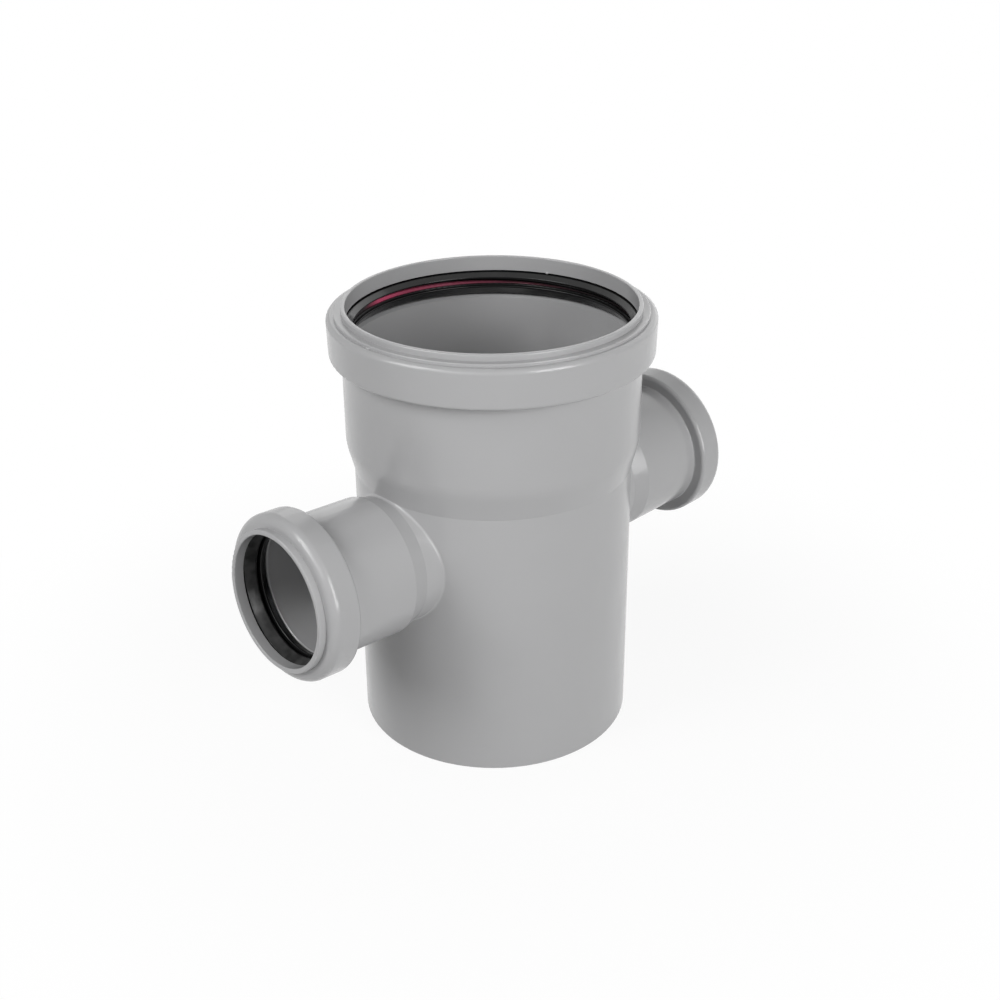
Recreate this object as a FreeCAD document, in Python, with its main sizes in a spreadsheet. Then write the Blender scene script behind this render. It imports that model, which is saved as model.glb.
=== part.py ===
import FreeCAD, Part
import Sketcher
import math
import os
import re

# A push-fit drainage cross: one grey moulding that stands on its spigot end, with a ring-seal socket
# on top, two narrow branches with sockets of their own, a rubber seal in each socket and a plastic
# support ring in the widest seal. Millimetres, +Z up the run, origin at the centre of the spigot end.

doc = FreeCAD.newDocument("PipeCross")
sheet = doc.addObject("Spreadsheet::Sheet", "Sizes")

SIZES = [
    # the run: spigot, drafted neck and taper
    ("pipe_radius", 55.0),
    ("spigot_length", 45.0),
    ("spigot_edge_round", 0.8),
    ("neck_draft", 0.1),
    ("run_wall", 2.7),
    ("branch_rise", 38.9),
    ("taper_lift", 2.4),
    ("taper_length", 11.4),
    ("taper_head_round", 20.0),
    # the wide socket: bore, seal chamber and mouth
    ("socket_clearance", 0.2),
    ("socket_length", 35.1),
    ("socket_wall", 2.6),
    ("groove_depth", 5.2),
    ("groove_slope", 0.7),
    ("groove_lip_depth", 6.0),
    ("chamber_foot", 2.4),
    ("chamber_height", 15.6),
    ("chamber_wall", 2.2),
    ("chamber_flare", 0.4),
    ("chamber_corner_round", 1.5),
    ("chamber_root_round", 0.6),
    ("shoulder_round", 1.9),
    ("mouth_rise", 3.5),
    ("mouth_clearance", 0.6),
    ("mouth_lip", 1.7),
    ("mouth_lip_round", 0.6),
    ("mouth_edge_round", 0.4),
    ("ledge_width", 2.8),
    ("ledge_height", 1.2),
    ("ledge_round", 0.4),
    ("lead_in_depth", 0.9),
    ("lead_in_width", 1.4),
    # the branches, each measured out from the run's axis
    ("branch_pipe_radius", 25.0),
    ("branch_tilt", 2.5),
    ("branch_neck_play", 0.3),
    ("branch_neck_wall", 1.8),
    ("branch_neck_reach", 2.2),
    ("branch_taper_length", 6.8),
    ("branch_socket_clearance", 0.2),
    ("branch_socket_length", 29.1),
    ("branch_socket_wall", 2.05),
    ("branch_groove_depth", 5.1),
    ("branch_groove_drop", 0.3),
    ("branch_groove_lip_depth", 4.1),
    ("branch_chamber_foot", 1.7),
    ("branch_chamber_length", 12.3),
    ("branch_chamber_wall", 1.9),
    ("branch_corner_round", 1.5),
    ("branch_root_round", 0.5),
    ("branch_shoulder_round", 3.4),
    ("branch_mouth_rise", 2.8),
    ("branch_mouth_clearance", 0.4),
    ("branch_lip", 1.9),
    ("branch_lip_round", 0.5),
    ("branch_lead_in_depth", 1.4),
    ("branch_lead_in_width", 1.4),
    ("root_fillet", 0.9),
    # what the rubber seals share: clearances and the shape of their sealing lips
    ("seal_gap", 0.1),
    ("seal_round", 0.8),
    ("heel_step", 1.0),
    ("rubber_round", 0.25),
    ("bead_depth", 0.6),
    ("bead_rise", 0.3),
    ("recess_depth", 1.0),
    # the main seal: a wiper that leans in over the ring's pocket, and a beaded lip below it
    ("wiper_bite", 2.0),
    ("wiper_tip", 0.5),
    ("wiper_lift", 1.1),
    ("wiper_head_play", 0.9),
    ("wiper_head_drop", 0.6),
    ("pocket_floor", 2.0),
    ("land_bite", 1.1),
    ("bead_bite", 2.0),
    ("bead_drop", 0.8),
    ("tail_bite", 0.1),
    ("tail_rise", 1.3),
    # the branch seals
    ("branch_wiper_bite", 0.2),
    ("branch_wiper_width", 1.4),
    ("branch_wiper_tip", 0.5),
    ("branch_wiper_drop", 1.0),
    ("branch_wiper_height", 4.7),
    ("branch_gap_depth", 2.2),
    ("branch_gap_width", 1.0),
    ("branch_bead_bite", 0.8),
    ("branch_tail_drop", 0.5),
    # the support ring, askew in the main seal's pocket
    ("ring_clear_of_pipe", 0.3),
    ("ring_width", 1.9),
    ("ring_depth", 2.2),
    ("ring_round", 0.4),
    ("ring_proud", 0.08),
    ("ring_play", 0.45),
    ("ring_clearance", 0.15),
    ("ring_tilt", 1.2),
    ("ring_high_side", 115.0),
    ("ring_offset", 0.25),
]
for row, (alias, number) in enumerate(SIZES, start=1):
    sheet.set(f"A{row}", alias.replace("_", " "))
    sheet.set(f"B{row}", str(number))
    sheet.setAlias(f"B{row}", alias)
doc.recompute()

FUNCTIONS = ("sin", "cos", "tan")


def bound(words):
    """An expression on the sheet's cells, from one written with their bare names."""
    return re.sub(r"[a-z_]{3,}", lambda m: m[0] if m[0] in FUNCTIONS else "Sizes." + m[0], words)


def worth(words):
    """The number that such an expression gives now."""
    return float(sheet.evalExpression(bound(words)))


def plane_of(body, role):
    """The body's own origin plane of that role."""
    return next(f for f in body.Origin.OriginFeatures if f.Role == role)


def corner_arc(before, corner, after, radius):
    """The centre and the two tangent points of a round of that radius at a corner."""
    back = (before - corner).normalize()
    ahead = (after - corner).normalize()
    half = back.getAngle(ahead) / 2
    reach = radius / math.tan(half)
    centre = corner + (back + ahead).normalize() * (radius / math.sin(half))
    return centre, corner + back * reach, corner + ahead * reach


def profile(body, name, corners, plane="XZ_Plane"):
    """A closed, fully constrained sketch through corners (x, y, round), each size tied to the sheet."""
    sketch = body.newObject("Sketcher::SketchObject", name)
    sketch.AttachmentSupport = [(plane_of(body, plane), "")]
    sketch.MapMode = "FlatFace"
    points = [FreeCAD.Vector(worth(x), worth(y), 0) for x, y, _ in corners]
    rounds = [worth(r) if r else 0.0 for _, _, r in corners]
    count = len(corners)
    starts, ends, arcs = list(points), list(points), {}
    for i in range(count):
        if rounds[i]:
            arc = corner_arc(points[i - 1], points[i], points[(i + 1) % count], rounds[i])
            centre, ends[i], starts[i] = arc
            arcs[i] = centre

    def limit(words, *constraint):
        index = sketch.addConstraint(Sketcher.Constraint(*constraint))
        sketch.setExpression(f"Constraints[{index}]", bound(words))

    lines = []
    for i in range(count):
        line = Part.LineSegment(starts[i], ends[(i + 1) % count])
        lines.append(sketch.addGeometry(line, False))
    for i, (x, y, r) in enumerate(corners):
        mark = sketch.addGeometry(Part.Point(points[i]), True)
        limit(x, "DistanceX", mark, 1, points[i].x)
        limit(y, "DistanceY", mark, 1, points[i].y)
        inward, outward = lines[i - 1], lines[i]
        if i not in arcs:
            sketch.addConstraint(Sketcher.Constraint("Coincident", inward, 2, mark, 1))
            sketch.addConstraint(Sketcher.Constraint("Coincident", outward, 1, mark, 1))
            continue
        centre = arcs[i]
        from_angle = math.atan2(ends[i].y - centre.y, ends[i].x - centre.x)
        to_angle = math.atan2(starts[i].y - centre.y, starts[i].x - centre.x)
        forward = (to_angle - from_angle) % (2 * math.pi) < math.pi
        if not forward:
            from_angle, to_angle = to_angle, from_angle
        circle = Part.Circle(centre, FreeCAD.Vector(0, 0, 1), rounds[i])
        arc = sketch.addGeometry(Part.ArcOfCircle(circle, from_angle, to_angle), False)
        sketch.addConstraint(Sketcher.Constraint("PointOnObject", mark, 1, inward))
        sketch.addConstraint(Sketcher.Constraint("PointOnObject", mark, 1, outward))
        sketch.addConstraint(Sketcher.Constraint("Tangent", inward, 2, arc, 1 if forward else 2))
        sketch.addConstraint(Sketcher.Constraint("Tangent", outward, 1, arc, 2 if forward else 1))
        limit(r, "Radius", arc, rounds[i])
    sketch.Visibility = False
    return sketch


def revolve(body, name, sketch, axis, cut=False):
    """The sketch turned once round its own axis, added to the body or cut from it."""
    kind = "PartDesign::Groove" if cut else "PartDesign::Revolution"
    before = None if body.Tip is None else body.Tip.Shape.Volume
    feature = body.newObject(kind, name)
    feature.Profile = (sketch, [""])
    feature.ReferenceAxis = (sketch, [axis])
    feature.Angle = 360.0
    doc.recompute()
    if cut and not feature.Shape.Volume < before:
        raise RuntimeError(name + " cuts nothing")
    return feature


def mirrored(body, name, feature):
    """The feature's copy on the far side of the run."""
    copy = body.newObject("PartDesign::Mirrored", name)
    copy.Originals = [feature]
    copy.MirrorPlane = (plane_of(body, "YZ_Plane"), [""])
    body.Tip = copy
    doc.recompute()
    return copy


def lay_along_branch(sketch):
    """Puts a sketch's origin where the branch axis crosses the run's, and tilts it to that axis."""
    sketch.AttachmentOffset = FreeCAD.Placement(
        FreeCAD.Vector(), FreeCAD.Rotation(FreeCAD.Vector(0, 0, 1), 1)
    )
    sketch.setExpression("AttachmentOffset.Base.y", bound(BRANCH_HEIGHT))
    sketch.setExpression("AttachmentOffset.Rotation.Angle", bound("branch_tilt"))
    doc.recompute()


# Places and radii that follow from the sizes. Heights are above the spigot's end.
BRANCH_HEIGHT = "(spigot_length + branch_rise)"
TAPER_START = f"({BRANCH_HEIGHT} + branch_pipe_radius + taper_lift)"
TAPER_END = f"({TAPER_START} + taper_length)"
CHAMBER_START = f"({TAPER_END} + socket_length)"
SHOULDER = f"({CHAMBER_START} + chamber_height)"
MOUTH = f"({SHOULDER} + mouth_rise)"
GROOVE_FOOT = f"({CHAMBER_START} + chamber_foot)"
GROOVE_LIP = f"({MOUTH} - groove_lip_depth)"
NECK_RADIUS = "(pipe_radius - neck_draft)"
BORE_RADIUS = "(pipe_radius + socket_clearance)"
SOCKET_RADIUS = f"({BORE_RADIUS} + socket_wall)"
GROOVE_RADIUS = f"({BORE_RADIUS} + groove_depth)"
CHAMBER_RADIUS = f"({GROOVE_RADIUS} + chamber_wall)"
MOUTH_RADIUS = "(pipe_radius + mouth_clearance)"
LIP_RADIUS = f"({MOUTH_RADIUS} + mouth_lip)"

# The same for a branch, whose places are reaches from the run's axis.
BRANCH_TAPER_START = "(pipe_radius + branch_neck_reach)"
BRANCH_TAPER_END = f"({BRANCH_TAPER_START} + branch_taper_length)"
BRANCH_CHAMBER_START = f"({BRANCH_TAPER_END} + branch_socket_length)"
BRANCH_SHOULDER = f"({BRANCH_CHAMBER_START} + branch_chamber_length)"
BRANCH_MOUTH = f"({BRANCH_SHOULDER} + branch_mouth_rise)"
BRANCH_GROOVE_FOOT = f"({BRANCH_CHAMBER_START} + branch_chamber_foot)"
BRANCH_GROOVE_LIP = f"({BRANCH_MOUTH} - branch_groove_lip_depth)"
BRANCH_NECK_RADIUS = "(branch_pipe_radius + branch_neck_play)"
BRANCH_NECK_BORE = f"({BRANCH_NECK_RADIUS} - branch_neck_wall)"
BRANCH_BORE_RADIUS = "(branch_pipe_radius + branch_socket_clearance)"
BRANCH_SOCKET_RADIUS = f"({BRANCH_BORE_RADIUS} + branch_socket_wall)"
BRANCH_GROOVE_RADIUS = f"({BRANCH_BORE_RADIUS} + branch_groove_depth)"
BRANCH_CHAMBER_RADIUS = f"({BRANCH_GROOVE_RADIUS} + branch_chamber_wall)"
BRANCH_MOUTH_RADIUS = "(branch_pipe_radius + branch_mouth_clearance)"
BRANCH_LIP_RADIUS = f"({BRANCH_MOUTH_RADIUS} + branch_lip)"

# The ring's pocket in the main seal, and the two lips above and below it.
RING_RADIUS = "(pipe_radius + ring_clear_of_pipe)"
RING_RISE = f"(({RING_RADIUS} + ring_width) * sin(ring_tilt))"
POCKET_INNER = f"({RING_RADIUS} - ring_play)"
POCKET_OUTER = f"({RING_RADIUS} + ring_width + ring_play)"
POCKET_FLOOR = f"({GROOVE_FOOT} + pocket_floor)"
POCKET_TOP = f"({POCKET_FLOOR} + ring_depth - ring_proud + ring_clearance + {RING_RISE})"
WIPER_UNDERSIDE = f"({POCKET_TOP} + ring_proud + ring_clearance + {RING_RISE})"
WIPER_RADIUS = "(pipe_radius - wiper_bite)"
BEAD_RADIUS = "(pipe_radius - bead_bite)"
BEAD_TOP = f"({POCKET_TOP} - bead_drop)"

# The same for a branch seal.
BRANCH_WIPER_RADIUS = "(branch_pipe_radius - branch_wiper_bite)"
BRANCH_WIPER_TOP = f"({BRANCH_GROOVE_LIP} - branch_wiper_drop)"
BRANCH_GAP_TOP = f"({BRANCH_WIPER_TOP} - branch_wiper_height)"
BRANCH_GAP_FOOT = f"({BRANCH_GAP_TOP} - branch_gap_width)"
BRANCH_GAP_RADIUS = f"({BRANCH_WIPER_RADIUS} + branch_gap_depth)"
BRANCH_BEAD_RADIUS = "(branch_pipe_radius - branch_bead_bite)"


def fitting_body():
    """The moulding: a solid run and two solid branches, then the bores with their seal grooves."""
    body = doc.addObject("PartDesign::Body", "FittingBody")
    body.Label = "fitting_body"
    run = profile(body, "RunOutline", [
        ("0", "0", None),
        ("pipe_radius", "0", "spigot_edge_round"),
        ("pipe_radius", "spigot_length", None),
        (NECK_RADIUS, TAPER_END, None),
        ("0", TAPER_END, None),
    ])
    revolve(body, "Run", run, "V_Axis")
    outline = profile(body, "BranchOutline", [
        ("0", "0", None),
        ("0", BRANCH_NECK_RADIUS, None),
        (BRANCH_TAPER_START, BRANCH_NECK_RADIUS, None),
        (BRANCH_TAPER_END, BRANCH_SOCKET_RADIUS, None),
        (BRANCH_CHAMBER_START, BRANCH_SOCKET_RADIUS, "branch_root_round"),
        (BRANCH_CHAMBER_START, BRANCH_CHAMBER_RADIUS, "branch_corner_round"),
        (BRANCH_SHOULDER, BRANCH_CHAMBER_RADIUS, "branch_shoulder_round"),
        (BRANCH_SHOULDER, BRANCH_LIP_RADIUS, None),
        (BRANCH_MOUTH, BRANCH_LIP_RADIUS, "branch_lip_round"),
        (BRANCH_MOUTH, "0", None),
    ])
    lay_along_branch(outline)
    branch = revolve(body, "Branch", outline, "H_Axis")
    mirrored(body, "BranchPair", branch)
    roots = [
        f"Edge{n}" for n, edge in enumerate(body.Tip.Shape.Edges, start=1)
        if edge.Curve.TypeId not in ("Part::GeomLine", "Part::GeomCircle")
    ]
    fillet = body.newObject("PartDesign::Fillet", "RootFillet")
    fillet.Base = (fillet.BaseFeature, roots)
    fillet.setExpression("Radius", bound("root_fillet"))
    doc.recompute()
    socket = profile(body, "SocketOutline", [
        ("0", TAPER_START, None),
        (NECK_RADIUS, TAPER_START, None),
        (SOCKET_RADIUS, TAPER_END, "taper_head_round"),
        (SOCKET_RADIUS, CHAMBER_START, "chamber_root_round"),
        (CHAMBER_RADIUS, CHAMBER_START, "chamber_corner_round"),
        (CHAMBER_RADIUS + " + chamber_flare", SHOULDER, "shoulder_round"),
        (LIP_RADIUS + " + ledge_width", SHOULDER, None),
        (LIP_RADIUS + " + ledge_width", SHOULDER + " + ledge_height", "ledge_round"),
        (LIP_RADIUS, SHOULDER + " + ledge_height", None),
        (LIP_RADIUS, MOUTH, "mouth_lip_round"),
        ("0", MOUTH, None),
    ])
    revolve(body, "Socket", socket, "V_Axis")
    bore = profile(body, "RunBore", [
        ("0", "0", None),
        ("pipe_radius - run_wall", "0", None),
        ("pipe_radius - run_wall", "spigot_length", None),
        (NECK_RADIUS + " - run_wall", TAPER_START, None),
        (BORE_RADIUS, TAPER_END, None),
        (BORE_RADIUS, GROOVE_FOOT + " - lead_in_depth", None),
        (BORE_RADIUS + " + lead_in_width", GROOVE_FOOT, None),
        (GROOVE_RADIUS, GROOVE_FOOT, "seal_round"),
        (GROOVE_RADIUS, GROOVE_LIP + " + groove_slope", "seal_round"),
        (MOUTH_RADIUS, GROOVE_LIP, None),
        (MOUTH_RADIUS, MOUTH, None),
        ("0", MOUTH, None),
    ])
    revolve(body, "RunHollow", bore, "V_Axis", cut=True)
    hollow = profile(body, "BranchBore", [
        ("0", "0", None),
        ("0", BRANCH_NECK_BORE, None),
        (BRANCH_TAPER_START, BRANCH_NECK_BORE, None),
        (BRANCH_TAPER_END, BRANCH_BORE_RADIUS, None),
        (BRANCH_GROOVE_FOOT + " - branch_lead_in_depth", BRANCH_BORE_RADIUS, None),
        (BRANCH_GROOVE_FOOT, BRANCH_BORE_RADIUS + " + branch_lead_in_width", None),
        (BRANCH_GROOVE_FOOT, BRANCH_GROOVE_RADIUS, "seal_round"),
        (BRANCH_GROOVE_LIP + " - branch_groove_drop", BRANCH_GROOVE_RADIUS, "seal_round"),
        (BRANCH_GROOVE_LIP, BRANCH_MOUTH_RADIUS, None),
        (BRANCH_MOUTH, BRANCH_MOUTH_RADIUS, None),
        (BRANCH_MOUTH, "0", None),
    ])
    lay_along_branch(hollow)
    cut = revolve(body, "BranchHollow", hollow, "H_Axis", cut=True)
    mirrored(body, "BranchHollowPair", cut)
    rims = [
        f"Edge{n}" for n, edge in enumerate(body.Tip.Shape.Edges, start=1)
        if is_mouth_edge(edge)
    ]
    if len(rims) != 3:
        raise RuntimeError("three mouths, but the edges found are " + str(rims))
    rounds = body.newObject("PartDesign::Fillet", "MouthEdges")
    rounds.Base = (rounds.BaseFeature, rims)
    rounds.setExpression("Radius", bound("mouth_edge_round"))
    doc.recompute()
    return body


def is_mouth_edge(edge):
    """Whether an edge is the inner circle at the end of one of the three sockets."""
    if edge.Curve.TypeId != "Part::GeomCircle":
        return False
    centre = edge.Curve.Center
    along_branch = centre - FreeCAD.Vector(0, 0, worth(BRANCH_HEIGHT))
    on_run = abs(centre.z - worth(MOUTH)) < 1e-4
    on_branch = abs(along_branch.Length - worth(BRANCH_MOUTH)) < 1e-4
    radius = edge.Curve.Radius
    return (on_run and abs(radius - worth(MOUTH_RADIUS)) < 1e-4) or (
        on_branch and abs(radius - worth(BRANCH_MOUTH_RADIUS)) < 1e-4
    )


def main_seal():
    """The wide seal: a wiper, the pocket below it for the support ring, and a beaded sealing lip."""
    body = doc.addObject("PartDesign::Body", "MainSeal")
    body.Label = "main_seal"
    section = profile(body, "SealSection", [
        (BORE_RADIUS + " + lead_in_width + heel_step", GROOVE_FOOT, None),
        (GROOVE_RADIUS + " - seal_gap", GROOVE_FOOT, "seal_round"),
        (GROOVE_RADIUS + " - seal_gap", GROOVE_LIP + " + groove_slope - 2 * seal_gap", "seal_round"),
        (POCKET_OUTER + " + heel_step", GROOVE_LIP + " + seal_gap", None),
        (MOUTH_RADIUS + " + heel_step", GROOVE_LIP + " - wiper_head_drop", None),
        (MOUTH_RADIUS + " - wiper_head_play", GROOVE_LIP + " - wiper_head_drop", "rubber_round"),
        (WIPER_RADIUS, WIPER_UNDERSIDE + " + wiper_lift + wiper_tip", "rubber_round"),
        (WIPER_RADIUS, WIPER_UNDERSIDE + " + wiper_lift", "rubber_round"),
        (POCKET_OUTER, WIPER_UNDERSIDE, None),
        (POCKET_OUTER, POCKET_FLOOR, None),
        (POCKET_INNER, POCKET_FLOOR, None),
        (POCKET_INNER, POCKET_TOP, None),
        ("pipe_radius - land_bite", POCKET_TOP, "rubber_round"),
        (BEAD_RADIUS + " + recess_depth", BEAD_TOP + " + bead_rise", None),
        (BEAD_RADIUS, BEAD_TOP, "rubber_round"),
        (BEAD_RADIUS, BEAD_TOP + " - bead_depth", "rubber_round"),
        ("pipe_radius - tail_bite", GROOVE_FOOT + " + tail_rise", "rubber_round"),
    ])
    revolve(body, "Seal", section, "V_Axis")
    return body


def branch_seal(name, label, side):
    """A narrow seal with a wiper and a beaded lip, laid along the branch on that side of the run."""
    body = doc.addObject("PartDesign::Body", name)
    body.Label = label
    groove_head = BRANCH_GROOVE_LIP + " - branch_groove_drop - seal_gap"
    section = profile(body, name + "Section", [
        ("branch_pipe_radius", BRANCH_GROOVE_FOOT + " - branch_tail_drop", "rubber_round"),
        (BRANCH_BORE_RADIUS + " + branch_lead_in_width", BRANCH_GROOVE_FOOT, None),
        (BRANCH_GROOVE_RADIUS + " - seal_gap", BRANCH_GROOVE_FOOT, "seal_round"),
        (BRANCH_GROOVE_RADIUS + " - seal_gap", groove_head, "seal_round"),
        (BRANCH_GAP_RADIUS + " + heel_step", groove_head, None),
        (BRANCH_GAP_RADIUS, BRANCH_WIPER_TOP, None),
        (BRANCH_WIPER_RADIUS + " + branch_wiper_width", BRANCH_WIPER_TOP, "rubber_round"),
        (BRANCH_WIPER_RADIUS, BRANCH_GAP_TOP + " + branch_wiper_tip", "rubber_round"),
        (BRANCH_WIPER_RADIUS, BRANCH_GAP_TOP, "rubber_round"),
        (BRANCH_GAP_RADIUS, BRANCH_GAP_TOP, None),
        (BRANCH_GAP_RADIUS, BRANCH_GAP_FOOT, None),
        (BRANCH_BEAD_RADIUS + " + recess_depth", BRANCH_GAP_FOOT, None),
        (BRANCH_BEAD_RADIUS, BRANCH_GAP_FOOT + " - bead_rise", "rubber_round"),
        (BRANCH_BEAD_RADIUS, BRANCH_GAP_FOOT + " - bead_rise - bead_depth", "rubber_round"),
    ])
    revolve(body, name + "Ring", section, "V_Axis")
    body.Placement = FreeCAD.Placement(
        FreeCAD.Vector(), FreeCAD.Rotation(FreeCAD.Vector(0, side, 0), 90)
    )
    body.setExpression("Placement.Base.z", bound(BRANCH_HEIGHT))
    body.setExpression("Placement.Rotation.Angle", bound("90 - branch_tilt"))
    return body


def support_ring():
    """The plastic ring that stiffens the wide seal. It sits askew in its pocket, proud on one side."""
    body = doc.addObject("PartDesign::Body", "SupportRing")
    body.Label = "support_ring"
    section = profile(body, "RingSection", [
        (RING_RADIUS, "0", "ring_round"),
        (RING_RADIUS + " + ring_width", "0", "ring_round"),
        (RING_RADIUS + " + ring_width", "ring_depth", "ring_round"),
        (RING_RADIUS, "ring_depth", "ring_round"),
    ])
    revolve(body, "Ring", section, "V_Axis")
    high_side = math.radians(worth("ring_high_side"))
    hinge = FreeCAD.Vector(math.sin(high_side), -math.cos(high_side), 0)
    body.Placement = FreeCAD.Placement(FreeCAD.Vector(), FreeCAD.Rotation(hinge, 1))
    body.setExpression("Placement.Rotation.Angle", bound("ring_tilt"))
    body.setExpression("Placement.Base.x", bound("0 - ring_offset * cos(ring_high_side)"))
    body.setExpression("Placement.Base.y", bound("0 - ring_offset * sin(ring_high_side)"))
    body.setExpression("Placement.Base.z", bound(POCKET_TOP + " + ring_proud - ring_depth"))
    return body


def check(bodies):
    """Every object recomputed without a fault, and every sub-part whole."""
    for item in doc.Objects:
        if any(word in item.State for word in ("Invalid", "Error")):
            raise RuntimeError(item.Name + " failed: " + str(item.State))
    for body in bodies:
        if body.Shape.isNull() or not body.Shape.isValid():
            raise RuntimeError(body.Label + " is no valid solid")


bodies = [
    fitting_body(),
    main_seal(),
    branch_seal("LeftSeal", "left_seal", -1),
    branch_seal("RightSeal", "right_seal", 1),
    support_ring(),
]
doc.recompute()
check(bodies)
os.makedirs("parts", exist_ok=True)
for body in bodies:
    body.Shape.exportStep(os.path.join("parts", body.Label + ".step"))
    box = body.Shape.BoundBox
    print(f"{body.Label}: {body.Shape.Volume:.1f} mm3, z from {box.ZMin:.2f} to {box.ZMax:.2f}")
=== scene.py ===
# %% [markdown]
# # A push-fit drainage cross, finished for a photograph
#
# The part is a grey plastic pipe fitting that stands on its plain lower end. A wide pipe runs straight
# up to a socket with a rubber seal, and two narrow branches leave it on opposite sides, each with a
# socket and seal of its own. Five solids arrive finished in size and place: the moulding, three seals
# and a thin support ring. This script adds what the eye reads as plastic and rubber: soft gloss, small
# moulding marks, a studio and the camera. Lengths are in metres, and MM turns millimetres into them.

# %% The frame that everything is placed in
import bpy
import math
from mathutils import Matrix, Vector


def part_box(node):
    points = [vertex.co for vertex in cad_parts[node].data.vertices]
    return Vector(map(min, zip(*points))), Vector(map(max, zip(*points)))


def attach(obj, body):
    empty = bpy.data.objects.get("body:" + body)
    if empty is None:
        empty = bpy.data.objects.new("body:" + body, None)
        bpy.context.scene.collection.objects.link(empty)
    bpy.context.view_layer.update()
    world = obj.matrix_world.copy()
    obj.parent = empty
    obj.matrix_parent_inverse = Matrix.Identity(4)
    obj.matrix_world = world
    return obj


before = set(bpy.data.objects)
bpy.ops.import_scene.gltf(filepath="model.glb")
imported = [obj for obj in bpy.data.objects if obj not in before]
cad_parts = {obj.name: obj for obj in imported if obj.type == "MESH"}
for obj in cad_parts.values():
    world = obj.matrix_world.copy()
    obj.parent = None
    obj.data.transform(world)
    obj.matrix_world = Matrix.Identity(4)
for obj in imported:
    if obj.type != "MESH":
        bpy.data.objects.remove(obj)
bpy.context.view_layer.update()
MM = 0.001

for name in sorted(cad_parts):
    low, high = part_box(name)
    size = [round((b - a) / MM, 1) for a, b in zip(low, high)]
    print(f"{name}: {size} mm, {len(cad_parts[name].data.polygons)} faces")

# %% [markdown]
# ## The camera
#
# A long lens looks down on the fitting from its front left. The numbers are the ones at which the
# outlines of all three sockets fall where the photograph has them: a direction (azimuth and elevation),
# a distance to a point on the run's axis, and a small sideways and upward step to centre the view.
# Building the camera's three axes by hand keeps the small roll that a tracking constraint would lose.

# %% Camera
VIEW_AZIMUTH = math.radians(-42.967)
VIEW_ELEVATION = math.radians(26.723)
VIEW_ROLL = math.radians(-0.390)
VIEW_DISTANCE = 597.217 * MM
VIEW_STEP_RIGHT = 2.561 * MM
VIEW_STEP_UP = 2.094 * MM
VIEW_TARGET = Vector((0, 0, 90 * MM))
LENS_MM = 53.1276
SENSOR_MM = 36.0
NEAREST_SEEN = 10 * MM


def toward(azimuth, elevation):
    """The level direction turned by the azimuth from straight in front, then raised."""
    return Vector((
        math.sin(azimuth) * math.cos(elevation),
        -math.cos(azimuth) * math.cos(elevation),
        math.sin(elevation),
    ))


def camera_axes():
    """The camera's right, up and backward directions."""
    back = toward(VIEW_AZIMUTH, VIEW_ELEVATION)
    level_right = Vector((0, 0, 1)).cross(back).normalized()
    level_up = back.cross(level_right)
    turn = Matrix.Rotation(VIEW_ROLL, 3, back)
    return turn @ level_right, turn @ level_up, back


def add_camera():
    """The camera of the photograph."""
    right, up, back = camera_axes()
    place = VIEW_TARGET + back * VIEW_DISTANCE + right * VIEW_STEP_RIGHT + up * VIEW_STEP_UP
    data = bpy.data.cameras.new("camera")
    data.sensor_width = SENSOR_MM
    data.lens = LENS_MM
    data.clip_start = NEAREST_SEEN
    camera = bpy.data.objects.new("camera", data)
    turn = Matrix((right, up, back)).transposed().to_4x4()
    camera.matrix_world = Matrix.Translation(place) @ turn
    bpy.context.scene.collection.objects.link(camera)
    bpy.context.scene.camera = camera
    return camera


camera = add_camera()
print("camera at", [round(x / MM, 1) for x in camera.matrix_world.translation], "mm")

# %% [markdown]
# ## The floor's material
#
# Fittings like this are photographed on white. A very bright floor would do that, but it would also
# throw light up at the fitting. Light Path gives a better way: the floor asks what kind of ray arrives.
# The camera and reflections find plain white, and the light finds an ordinary grey sheet. Near the
# fitting the camera sees a share of the floor's real, matt light, and that share holds the soft shadow.
# It fades out with distance, so the floor meets the white world without a line.

# %% The floor's material
FLOOR_GREY = 0.50
SHADOW_SHARE = 0.10
SHADOW_NEAR = 80 * MM
SHADOW_FAR = 280 * MM


def new_material(name):
    """An empty node material with its output."""
    material = bpy.data.materials.new(name)
    material.use_nodes = True
    nodes = material.node_tree.nodes
    nodes.clear()
    output = nodes.new("ShaderNodeOutputMaterial")
    return material, nodes, material.node_tree.links, output


def math_node(nodes, operation):
    """A Math node that does one operation."""
    node = nodes.new("ShaderNodeMath")
    node.operation = operation
    return node


def seen_directly(nodes, links):
    """A factor that is 1 for rays from the camera, from a mirror or through glass, otherwise 0."""
    path = nodes.new("ShaderNodeLightPath")
    either = math_node(nodes, "MAXIMUM")
    any_of_three = math_node(nodes, "MAXIMUM")
    links.new(path.outputs["Is Camera Ray"], either.inputs[0])
    links.new(path.outputs["Is Glossy Ray"], either.inputs[1])
    links.new(either.outputs["Value"], any_of_three.inputs[0])
    links.new(path.outputs["Is Transmission Ray"], any_of_three.inputs[1])
    return any_of_three.outputs["Value"]


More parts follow.
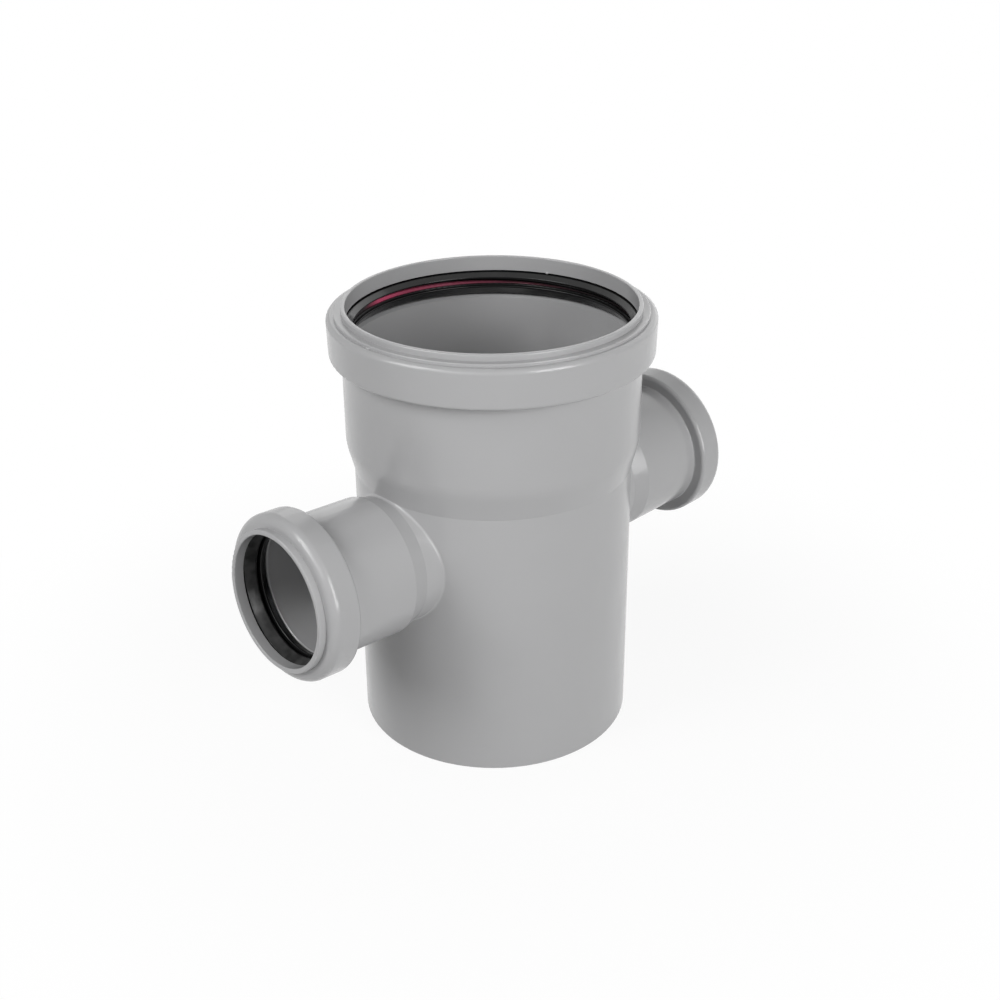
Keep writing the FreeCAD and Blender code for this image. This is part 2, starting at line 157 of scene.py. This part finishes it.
def floor_material():
    """Matt and grey to the light, white to the camera, with a share of real shadow near the middle."""
    material, nodes, links, output = new_material("studio_floor")
    seen = seen_directly(nodes, links)
    grey = nodes.new("ShaderNodeMapRange")
    grey.inputs["To Min"].default_value = FLOOR_GREY
    grey.inputs["To Max"].default_value = 1.0
    matt = nodes.new("ShaderNodeBsdfDiffuse")
    white = nodes.new("ShaderNodeEmission")
    white.inputs["Strength"].default_value = 1.0
    place = nodes.new("ShaderNodeTexCoord")
    reach = nodes.new("ShaderNodeVectorMath")
    reach.operation = "LENGTH"
    fade = nodes.new("ShaderNodeMapRange")
    fade.interpolation_type = "SMOOTHSTEP"
    fade.inputs["From Min"].default_value = SHADOW_NEAR
    fade.inputs["From Max"].default_value = SHADOW_FAR
    fade.inputs["To Min"].default_value = 1.0 - SHADOW_SHARE
    fade.inputs["To Max"].default_value = 1.0
    whiteness = math_node(nodes, "MULTIPLY")
    mix = nodes.new("ShaderNodeMixShader")
    links.new(seen, grey.inputs["Value"])
    links.new(grey.outputs["Result"], matt.inputs["Color"])
    links.new(place.outputs["Object"], reach.inputs[0])
    links.new(reach.outputs["Value"], fade.inputs["Value"])
    links.new(fade.outputs["Result"], whiteness.inputs[0])
    links.new(seen, whiteness.inputs[1])
    links.new(whiteness.outputs["Value"], mix.inputs["Fac"])
    links.new(matt.outputs["BSDF"], mix.inputs[1])
    links.new(white.outputs["Emission"], mix.inputs[2])
    links.new(mix.outputs["Shader"], output.inputs["Surface"])
    return material


floor_white = floor_material()
print(floor_white.name, "has", len(floor_white.node_tree.nodes), "nodes")

# %% [markdown]
# ## The floor
#
# One flat square at the height on which the fitting stands is enough, because its material does the
# rest. It is wide enough that its edge lies outside the photograph.

# %% The floor
FLOOR_HALF = 3.0


def paint(obj, material):
    """One material all over an object."""
    obj.data.materials.clear()
    obj.data.materials.append(material)


def add_floor():
    """A flat sheet under the fitting."""
    mesh = bpy.data.meshes.new("studio_floor")
    h = FLOOR_HALF
    mesh.from_pydata([(-h, -h, 0), (h, -h, 0), (h, h, 0), (-h, h, 0)], [], [(0, 1, 2, 3)])
    floor = bpy.data.objects.new("studio_floor", mesh)
    bpy.context.scene.collection.objects.link(floor)
    paint(floor, floor_white)
    return floor


floor = add_floor()
print("floor", 2 * FLOOR_HALF, "m wide")

# %% [markdown]
# ## The world
#
# Light also comes from all round in a real studio, from its walls and ceiling. The world gives a little
# of it, and the same Light Path test as in the floor shows plain white behind everything.

# %% The world
WORLD_LIGHT = 0.04
WHITE = (1, 1, 1, 1)


def set_world():
    """Even white light from all round, and plain white behind everything."""
    world = bpy.data.worlds.new("studio")
    world.use_nodes = True
    bpy.context.scene.world = world
    nodes, links = world.node_tree.nodes, world.node_tree.links
    nodes.clear()
    output = nodes.new("ShaderNodeOutputWorld")
    sky = nodes.new("ShaderNodeBackground")
    sky.inputs["Color"].default_value = WHITE
    sky.inputs["Strength"].default_value = WORLD_LIGHT
    white = nodes.new("ShaderNodeBackground")
    white.inputs["Color"].default_value = WHITE
    white.inputs["Strength"].default_value = 1.0
    pick = nodes.new("ShaderNodeMixShader")
    links.new(seen_directly(nodes, links), pick.inputs["Fac"])
    links.new(sky.outputs["Background"], pick.inputs[1])
    links.new(white.outputs["Background"], pick.inputs[2])
    links.new(pick.outputs["Shader"], output.inputs["Surface"])


set_world()
bpy.context.scene.view_settings.view_transform = "Standard"
print("world light", WORLD_LIGHT, "seen through the", bpy.context.scene.view_settings.view_transform, "view")

# %% [markdown]
# ## The light
#
# Three softboxes stand in front of the fitting and a large, weak one behind it, so that no side is left
# dark. Each one is named by where it stands as seen from the camera. Their places come from the thin
# bright lines on the rims: a highlight is a small mirror that points at its lamp. Their strengths come
# from rendering each lamp alone and solving for the mix whose greys come nearest to the photograph's.

# %% Softboxes
AIM = Vector((0, 0, 80 * MM))
SOFTBOX_DISTANCE = 1.3
SOFTBOXES = [
    # name, degrees to the right of the camera as seen from above, elevation, width, height, watts
    ("right_strip", 42, 18, 0.60, 0.90, 12.0),
    ("left_high", -60, 37, 0.55, 0.80, 8.8),
    ("front_left", -30, 30, 0.50, 0.50, 2.0),
    ("back", 160, 22, 1.80, 1.20, 4.8),
]


def add_softbox(name, right_of_camera, elevation, width, height, watts):
    """One upright rectangular lamp that faces the fitting. The camera doesn't see it."""
    away = toward(VIEW_AZIMUTH + math.radians(right_of_camera), math.radians(elevation))
    data = bpy.data.lights.new(name, "AREA")
    data.shape = "RECTANGLE"
    data.size = width
    data.size_y = height
    data.energy = watts
    lamp = bpy.data.objects.new(name, data)
    facing = (-away).to_track_quat("-Z", "Y").to_matrix().to_4x4()
    lamp.matrix_world = Matrix.Translation(AIM + away * SOFTBOX_DISTANCE) @ facing
    lamp.visible_camera = False
    bpy.context.scene.collection.objects.link(lamp)
    return lamp


lamps = [add_softbox(*row) for row in SOFTBOXES]
print(len(lamps), "softboxes,", round(sum(lamp.data.energy for lamp in lamps), 1), "watts in all")

# %% [markdown]
# ## Moulded skin
#
# Moulded plastic and rubber are never quite even. The gloss wanders where the melt cooled at different
# speeds, long shallow waves bend the reflections, and a very fine grain breaks them up. One node group
# makes all three from noise on object coordinates, so that they stay with the part. Every material here
# uses it with its own numbers.
#
# The renderer's denoiser treats a gloss sharper than a roughness of about 0.27 in another way than a
# softer one, and the border between them would show as a faint outline. So each material's roughness
# stays wholly on one side of that value.

# %% A node group for the skin of moulded parts
NOISE_ROUGHNESS = 0.55
NOISE_MIDDLE = 0.5
PATCH_DETAIL, WAVE_DETAIL, GRAIN_DETAIL = 3.0, 0.0, 2.0
WAVE_HEIGHT = 1.0 * MM
GRAIN_HEIGHT = 0.05 * MM
SKIN_INPUTS = [
    ("Patch scale", 25.0), ("Shade spread", 0.03), ("Roughness", 0.4), ("Roughness spread", 0.08),
    ("Grain scale", 900.0), ("Grain depth", 0.2), ("Wave scale", 45.0), ("Wave depth", 0.3),
]


def add_inputs(group, names_and_values):
    """Number inputs with their usual values, for a node group."""
    for name, value in names_and_values:
        socket = group.interface.new_socket(name, in_out="INPUT", socket_type="NodeSocketFloat")
        socket.default_value = value


def skin_group():
    """Shade, roughness and normal of an unevenly glossy, gently waved and finely grained surface."""
    group = bpy.data.node_groups.new("moulded_skin", "ShaderNodeTree")
    add_inputs(group, SKIN_INPUTS)
    group.interface.new_socket("Shade", in_out="OUTPUT", socket_type="NodeSocketFloat")
    group.interface.new_socket("Roughness", in_out="OUTPUT", socket_type="NodeSocketFloat")
    group.interface.new_socket("Normal", in_out="OUTPUT", socket_type="NodeSocketVector")
    nodes, links = group.nodes, group.links
    given = nodes.new("NodeGroupInput")
    result = nodes.new("NodeGroupOutput")
    place = nodes.new("ShaderNodeTexCoord")

    def noise(scale_name, detail):
        """Noise on object coordinates at the named scale."""
        texture = nodes.new("ShaderNodeTexNoise")
        texture.inputs["Detail"].default_value = detail
        texture.inputs["Roughness"].default_value = NOISE_ROUGHNESS
        links.new(place.outputs["Object"], texture.inputs["Vector"])
        links.new(given.outputs[scale_name], texture.inputs["Scale"])
        return texture.outputs["Fac"]

    def spread_out(source, spread_name):
        """A Math node that adds the noise, centred on 0 and times the named spread, to its last input."""
        centred = math_node(nodes, "SUBTRACT")
        centred.inputs[1].default_value = NOISE_MIDDLE
        moved = math_node(nodes, "MULTIPLY_ADD")
        links.new(source, centred.inputs[0])
        links.new(centred.outputs["Value"], moved.inputs[0])
        links.new(given.outputs[spread_name], moved.inputs[1])
        return moved

    def bumped(scale_name, depth_name, detail, height):
        """A Bump node for noise of that height."""
        bump = nodes.new("ShaderNodeBump")
        bump.inputs["Distance"].default_value = height
        links.new(given.outputs[depth_name], bump.inputs["Strength"])
        links.new(noise(scale_name, detail), bump.inputs["Height"])
        return bump

    patches = noise("Patch scale", PATCH_DETAIL)
    waves = bumped("Wave scale", "Wave depth", WAVE_DETAIL, WAVE_HEIGHT)
    grain = bumped("Grain scale", "Grain depth", GRAIN_DETAIL, GRAIN_HEIGHT)
    shade = spread_out(patches, "Shade spread")
    shade.inputs[2].default_value = 1.0
    gloss = spread_out(patches, "Roughness spread")
    gloss.use_clamp = True
    links.new(given.outputs["Roughness"], gloss.inputs[2])
    links.new(waves.outputs["Normal"], grain.inputs["Normal"])
    links.new(shade.outputs["Value"], result.inputs["Shade"])
    links.new(gloss.outputs["Value"], result.inputs["Roughness"])
    links.new(grain.outputs["Normal"], result.inputs["Normal"])
    return group


SKIN = skin_group()
print(SKIN.name, "has", len(SKIN_INPUTS), "inputs and", len(SKIN.nodes), "nodes")

# %% [markdown]
# ## Grey plastic
#
# Polypropylene straight from the mould: mid grey with hardly any tint, satin rather than matt. Its gloss
# draws the thin bright lines along the rims and the corners of the seal chambers. A Principled shader
# with the skin group plugged into it is all it takes, and the other materials are made the same way.

# %% The moulding's plastic
PLASTIC_GREY = (0.415, 0.415, 0.42)
PLASTIC_SPECULAR = 0.45
PLASTIC_SKIN = {
    "Patch scale": 22.0, "Shade spread": 0.03, "Roughness": 0.205, "Roughness spread": 0.06,
    "Grain scale": 1500.0, "Grain depth": 0.12, "Wave scale": 55.0, "Wave depth": 0.5,
}


def skinned_material(name, colour, settings, specular):
    """A Principled material on the skin group. The colour is a triple or a function that adds nodes."""
    material, nodes, links, output = new_material(name)
    skin = nodes.new("ShaderNodeGroup")
    skin.node_tree = SKIN
    for socket, value in settings.items():
        skin.inputs[socket].default_value = value
    tint = nodes.new("ShaderNodeVectorMath")
    tint.operation = "SCALE"
    if callable(colour):
        links.new(colour(nodes, links), tint.inputs[0])
    else:
        tint.inputs[0].default_value = colour
    shader = nodes.new("ShaderNodeBsdfPrincipled")
    shader.inputs["Specular IOR Level"].default_value = specular
    links.new(skin.outputs["Shade"], tint.inputs["Scale"])
    links.new(tint.outputs["Vector"], shader.inputs["Base Color"])
    links.new(skin.outputs["Roughness"], shader.inputs["Roughness"])
    links.new(skin.outputs["Normal"], shader.inputs["Normal"])
    links.new(shader.outputs["BSDF"], output.inputs["Surface"])
    return material


plastic_material = skinned_material("moulded_grey_plastic", PLASTIC_GREY, PLASTIC_SKIN, PLASTIC_SPECULAR)
paint(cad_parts["fitting_body"], plastic_material)
print("grey plastic on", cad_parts["fitting_body"].name)

# %% [markdown]
# ## A patchy film and painted sheen
#
# The sloping face of a seal, which a pipe meets first, is greyed in patches: partly a film of dust and
# lubricant, partly painted light, which lifts the lit face against the black of the grooves below it that
# lie in shade. A second node group finds that face by its height along the seal's own axis, because the
# solids arrive without a texture map, and breaks the grey up with noise.

# %% A node group for the film and painted sheen on a seal's outer face
FILM_AND_SHEEN_DETAIL = 2.0
FILM_AND_SHEEN_NOISE_LOW, FILM_AND_SHEEN_NOISE_HIGH = 0.35, 0.65
FILM_AND_SHEEN_INPUTS = [("Start", 0.1), ("Edge", 0.3 * MM), ("Patch scale", 150.0), ("Patchiness", 0.6)]


def film_and_sheen_group():
    """A patchy share from 0 to 1 on everything that lies beyond a height along an axis."""
    group = bpy.data.node_groups.new("patchy_film_and_sheen", "ShaderNodeTree")
    axis = group.interface.new_socket("Axis", in_out="INPUT", socket_type="NodeSocketVector")
    axis.default_value = (0, 0, 1)
    add_inputs(group, FILM_AND_SHEEN_INPUTS)
    group.interface.new_socket("Film and sheen", in_out="OUTPUT", socket_type="NodeSocketFloat")
    nodes, links = group.nodes, group.links
    given = nodes.new("NodeGroupInput")
    result = nodes.new("NodeGroupOutput")
    place = nodes.new("ShaderNodeTexCoord")
    height = nodes.new("ShaderNodeVectorMath")
    height.operation = "DOT_PRODUCT"
    end = math_node(nodes, "ADD")
    face = nodes.new("ShaderNodeMapRange")
    patches = nodes.new("ShaderNodeTexNoise")
    patches.inputs["Detail"].default_value = FILM_AND_SHEEN_DETAIL
    thickness = nodes.new("ShaderNodeMapRange")
    thickness.inputs["From Min"].default_value = FILM_AND_SHEEN_NOISE_LOW
    thickness.inputs["From Max"].default_value = FILM_AND_SHEEN_NOISE_HIGH
    thinnest = math_node(nodes, "SUBTRACT")
    thinnest.inputs[0].default_value = 1.0
    share = math_node(nodes, "MULTIPLY")
    links.new(place.outputs["Object"], height.inputs[0])
    links.new(given.outputs["Axis"], height.inputs[1])
    links.new(given.outputs["Start"], end.inputs[0])
    links.new(given.outputs["Edge"], end.inputs[1])
    links.new(height.outputs["Value"], face.inputs["Value"])
    links.new(given.outputs["Start"], face.inputs["From Min"])
    links.new(end.outputs["Value"], face.inputs["From Max"])
    links.new(place.outputs["Object"], patches.inputs["Vector"])
    links.new(given.outputs["Patch scale"], patches.inputs["Scale"])
    links.new(patches.outputs["Fac"], thickness.inputs["Value"])
    links.new(given.outputs["Patchiness"], thinnest.inputs[1])
    links.new(thinnest.outputs["Value"], thickness.inputs["To Min"])
    links.new(face.outputs["Result"], share.inputs[0])
    links.new(thickness.outputs["Result"], share.inputs[1])
    links.new(share.outputs["Value"], result.inputs["Film and sheen"])
    return group


FILM_AND_SHEEN = film_and_sheen_group()
print(FILM_AND_SHEEN.name, "has", len(FILM_AND_SHEEN_INPUTS) + 1, "inputs and", len(FILM_AND_SHEEN.nodes), "nodes")

# %% [markdown]
# ## Black rubber
#
# The seals are smooth black rubber with a slight sheen, so their lips catch long thin highlights. Their
# waves and patches are smaller than the plastic's. The narrow seals carry more of the film and painted
# sheen than the wide one.

# %% The seals' rubber
RUBBER_BLACK = (0.006, 0.006, 0.0063)
RUBBER_SPECULAR = 0.36
RUBBER_SKIN = {
    "Patch scale": 90.0, "Shade spread": 0.5, "Roughness": 0.20, "Roughness spread": 0.08,
    "Grain scale": 1200.0, "Grain depth": 0.30, "Wave scale": 90.0, "Wave depth": 0.6,
}
BRANCH_TILT = math.radians(2.5)
BRANCH_HEIGHT = 83.9 * MM
WIDE_FACE_FOOT = 168.7 * MM
NARROW_FACE_FOOT = 98.9 * MM + BRANCH_HEIGHT * math.sin(BRANCH_TILT)
SEALS = {
    # seal: the direction out of its socket, where its sloping face begins along that, the grey of its film
    # and painted sheen
    "main_seal": ((0, 0, 1), WIDE_FACE_FOOT, 0.012),
    "left_seal": ((-math.cos(BRANCH_TILT), 0, math.sin(BRANCH_TILT)), NARROW_FACE_FOOT, 0.085),
    "right_seal": ((math.cos(BRANCH_TILT), 0, math.sin(BRANCH_TILT)), NARROW_FACE_FOOT, 0.085),
}


def blended(nodes, links, share, low_colour, high_colour):
    """A colour between two, by a share from another node."""
    mix = nodes.new("ShaderNodeMix")
    mix.data_type = "RGBA"
    low, high = [socket for socket in mix.inputs if socket.type == "RGBA"]
    low.default_value = (*low_colour, 1)
    high.default_value = (*high_colour, 1)
    links.new(share, mix.inputs["Factor"])
    return next(socket for socket in mix.outputs if socket.type == "RGBA")


def rubber_with_film_and_sheen(seal, axis, start, film_and_sheen_grey):
    """Black rubber whose outer face is greyed in patches, partly by a film of dust and lubricant, partly by
    painted light.
    """
    def colour(nodes, links):
        film = nodes.new("ShaderNodeGroup")
        film.node_tree = FILM_AND_SHEEN
        film.inputs["Axis"].default_value = axis
        film.inputs["Start"].default_value = start
        # the grey is partly a dust and lubricant film, partly painted light that lifts the face above its
        # shaded grooves
        return blended(nodes, links, film.outputs["Film and sheen"], RUBBER_BLACK, (film_and_sheen_grey,) * 3)

    return skinned_material("rubber_of_" + seal, colour, RUBBER_SKIN, RUBBER_SPECULAR)


for seal, row in SEALS.items():
    paint(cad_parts[seal], rubber_with_film_and_sheen(seal, *row))
    print("rubber on", seal)

# %% [markdown]
# ## Magenta plastic
#
# The support ring is a harder, brightly coloured plastic, so that a fitter can see that it is there. It
# stands proud on one side only, and there it shows its full magenta. Further round it sinks between the
# rubber lips into their shade, and that shade is painted into its colour as near black. A ramp over the
# angle round the ring carries this painted shade: the fully lit stretch, the slow fade one way and the
# quick fade the other.

# %% The support ring's plastic
RING_MAGENTA = (0.66, 0.095, 0.195)
# painted shade: near black where the ring lies in the shadow between the rubber lips
RING_PAINTED_SHADE = (0.030, 0.023, 0.025)
RING_SPECULAR = 0.42
RING_SKIN = {
    "Patch scale": 90.0, "Shade spread": 0.35, "Roughness": 0.36, "Roughness spread": 0.10,
    "Grain scale": 1400.0, "Grain depth": 0.10, "Wave scale": 60.0, "Wave depth": 0.2,
}
# how much of the ring's own magenta shows at each angle round the run, in degrees; the rest is painted shade
RING_MAGENTA_SHARE = [
    (0, 0.0), (10, 0.02), (20, 0.07), (32, 0.16), (40, 0.14), (50, 0.25), (62, 0.38), (75, 0.47),
    (88, 0.60), (97, 0.95), (103, 1.0), (107, 0.45), (111, 0.10), (114, 0.0),
]
RING_LAST_DEGREE = RING_MAGENTA_SHARE[-1][0]


def ring_colour(nodes, links):
    """Magenta that turns to painted shade, near black, away from the proud side, where the ring sinks into
    the lips' shadow.
    """
    place = nodes.new("ShaderNodeTexCoord")
    parts = nodes.new("ShaderNodeSeparateXYZ")
    angle = math_node(nodes, "ARCTAN2")
    share = nodes.new("ShaderNodeMapRange")
    share.inputs["From Max"].default_value = math.radians(RING_LAST_DEGREE)
    ramp = nodes.new("ShaderNodeValToRGB")
    stops = ramp.color_ramp.elements
    while len(stops) < len(RING_MAGENTA_SHARE):
        stops.new(0.5)
    for stop, (degrees, magenta_share) in zip(stops, RING_MAGENTA_SHARE):
        stop.position = degrees / RING_LAST_DEGREE
        stop.color = (magenta_share, magenta_share, magenta_share, 1)
    links.new(place.outputs["Object"], parts.inputs["Vector"])
    links.new(parts.outputs["Y"], angle.inputs[0])
    links.new(parts.outputs["X"], angle.inputs[1])
    links.new(angle.outputs["Value"], share.inputs["Value"])
    links.new(share.outputs["Result"], ramp.inputs["Fac"])
    return blended(nodes, links, ramp.outputs["Color"], RING_PAINTED_SHADE, RING_MAGENTA)


ring_material = skinned_material("support_ring_plastic", ring_colour, RING_SKIN, RING_SPECULAR)
paint(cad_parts["support_ring"], ring_material)
print("magenta plastic on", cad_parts["support_ring"].name)

# %% [markdown]
# ## A rule for moulding nubs
#
# Where the mould's parts meet, the plastic leaves small nubs. A Geometry Nodes tree sets such nubs at
# even angles on a circle: it makes the points by rule, puts a flattened ball on each and turns it
# outward. One tree with named inputs serves every such row of nubs, whatever its radius or height.

# %% A tree that sets nubs on a circle
BALL_SEGMENTS, BALL_RINGS = 20, 12
NUB_INPUTS = [
    ("Count", "NodeSocketInt"), ("Circle radius", "NodeSocketFloat"), ("Height", "NodeSocketFloat"),
    ("First angle", "NodeSocketFloat"), ("Nub radius", "NodeSocketFloat"),
    ("Stretch", "NodeSocketVector"), ("Material", "NodeSocketMaterial"),
]


def nub_tree():
    """Count nubs at even angles on a level circle, each a flattened ball in the given material."""
    tree = bpy.data.node_groups.new("nubs_on_a_circle", "GeometryNodeTree")
    tree.interface.new_socket("Geometry", in_out="INPUT", socket_type="NodeSocketGeometry")
    for name, kind in NUB_INPUTS:
        tree.interface.new_socket(name, in_out="INPUT", socket_type=kind)
    tree.interface.new_socket("Geometry", in_out="OUTPUT", socket_type="NodeSocketGeometry")
    nodes, links = tree.nodes, tree.links
    given = nodes.new("NodeGroupInput")
    result = nodes.new("NodeGroupOutput")

    def maths(operation, first, second=None):
        """The result of one operation on sockets or plain numbers."""
        node = math_node(nodes, operation)
        for socket, source in zip(node.inputs, (first, second)):
            if isinstance(source, float):
                socket.default_value = source
            elif source is not None:
                links.new(source, socket)
        return node.outputs["Value"]

    index = nodes.new("GeometryNodeInputIndex").outputs["Index"]
    step = maths("DIVIDE", math.tau, given.outputs["Count"])
    angle = maths("ADD", maths("MULTIPLY", index, step), given.outputs["First angle"])
    spot = nodes.new("ShaderNodeCombineXYZ")
    radius = given.outputs["Circle radius"]
    links.new(maths("MULTIPLY", maths("COSINE", angle), radius), spot.inputs["X"])
    links.new(maths("MULTIPLY", maths("SINE", angle), radius), spot.inputs["Y"])
    links.new(given.outputs["Height"], spot.inputs["Z"])
    points = nodes.new("GeometryNodePoints")
    links.new(given.outputs["Count"], points.inputs["Count"])
    links.new(spot.outputs["Vector"], points.inputs["Position"])
    ball = nodes.new("GeometryNodeMeshUVSphere")
    ball.inputs["Segments"].default_value = BALL_SEGMENTS
    ball.inputs["Rings"].default_value = BALL_RINGS
    links.new(given.outputs["Nub radius"], ball.inputs["Radius"])
    outward = nodes.new("ShaderNodeCombineXYZ")
    links.new(angle, outward.inputs["Z"])
    place = nodes.new("GeometryNodeInstanceOnPoints")
    links.new(points.outputs["Points"], place.inputs["Points"])
    links.new(ball.outputs["Mesh"], place.inputs["Instance"])
    links.new(outward.outputs["Vector"], place.inputs["Rotation"])
    links.new(given.outputs["Stretch"], place.inputs["Scale"])
    real = nodes.new("GeometryNodeRealizeInstances")
    smooth = nodes.new("GeometryNodeSetShadeSmooth")
    coat = nodes.new("GeometryNodeSetMaterial")
    links.new(place.outputs["Instances"], real.inputs["Geometry"])
    links.new(real.outputs["Geometry"], smooth.inputs["Geometry"])
    links.new(smooth.outputs["Geometry"], coat.inputs["Geometry"])
    links.new(given.outputs["Material"], coat.inputs["Material"])
    links.new(coat.outputs["Geometry"], result.inputs["Geometry"])
    return tree


NUBS = nub_tree()
print(NUBS.name, "has", len(NUB_INPUTS), "inputs and", len(NUBS.nodes), "nodes")

# %% [markdown]
# ## The nubs of the wide mouth
#
# The photograph shows one nub at the foot of the ledge round the wide mouth, on the line through both
# branches, and one on the lip above the wide seal. The first has a twin on the far side, where the
# mould parts again. Each row is grown on an empty object and kept as a plain mesh, so that no modifier
# is left for other programs to misread.

# %% The nubs of the wide mouth
LEDGE_FOOT_RADIUS = 60.1 * MM
LEDGE_FOOT_HEIGHT = 173.5 * MM
LIP_RADIUS = 55.6 * MM
LIP_HEIGHT = 171.0 * MM
LIP_NUB_ANGLE = math.radians(23.1)
LEDGE_NUB_RADIUS = 0.75 * MM
LIP_NUB_RADIUS = 0.55 * MM


def grown(name, tree, values):
    """A mesh object made by a Geometry Nodes tree from named values, with no modifier left on it."""
    seed = bpy.data.objects.new(name + "_seed", bpy.data.meshes.new(name + "_seed"))
    bpy.context.scene.collection.objects.link(seed)
    modifier = seed.modifiers.new("tree", "NODES")
    modifier.node_group = tree
    for item in tree.interface.items_tree:
        if item.in_out == "INPUT" and item.name in values:
            modifier[item.identifier] = values[item.name]
    depsgraph = bpy.context.evaluated_depsgraph_get()
    mesh = bpy.data.meshes.new_from_object(seed.evaluated_get(depsgraph))
    seed.modifiers.remove(modifier)
    bpy.data.objects.remove(seed)
    made = bpy.data.objects.new(name, mesh)
    bpy.context.scene.collection.objects.link(made)
    return made


ledge_nubs = grown("ledge_nubs", NUBS, {
    "Count": 2, "Circle radius": LEDGE_FOOT_RADIUS, "Height": LEDGE_FOOT_HEIGHT, "First angle": 0.0,
    "Nub radius": LEDGE_NUB_RADIUS, "Stretch": (1.0, 1.5, 0.7), "Material": plastic_material,
})
lip_nub = grown("lip_nub", NUBS, {
    "Count": 1, "Circle radius": LIP_RADIUS, "Height": LIP_HEIGHT, "First angle": LIP_NUB_ANGLE,
    "Nub radius": LIP_NUB_RADIUS, "Stretch": (0.8, 1.5, 1.0), "Material": plastic_material,
})
for nub in (ledge_nubs, lip_nub):
    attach(nub, "root")
    print(nub.name, len(nub.data.polygons), "faces")
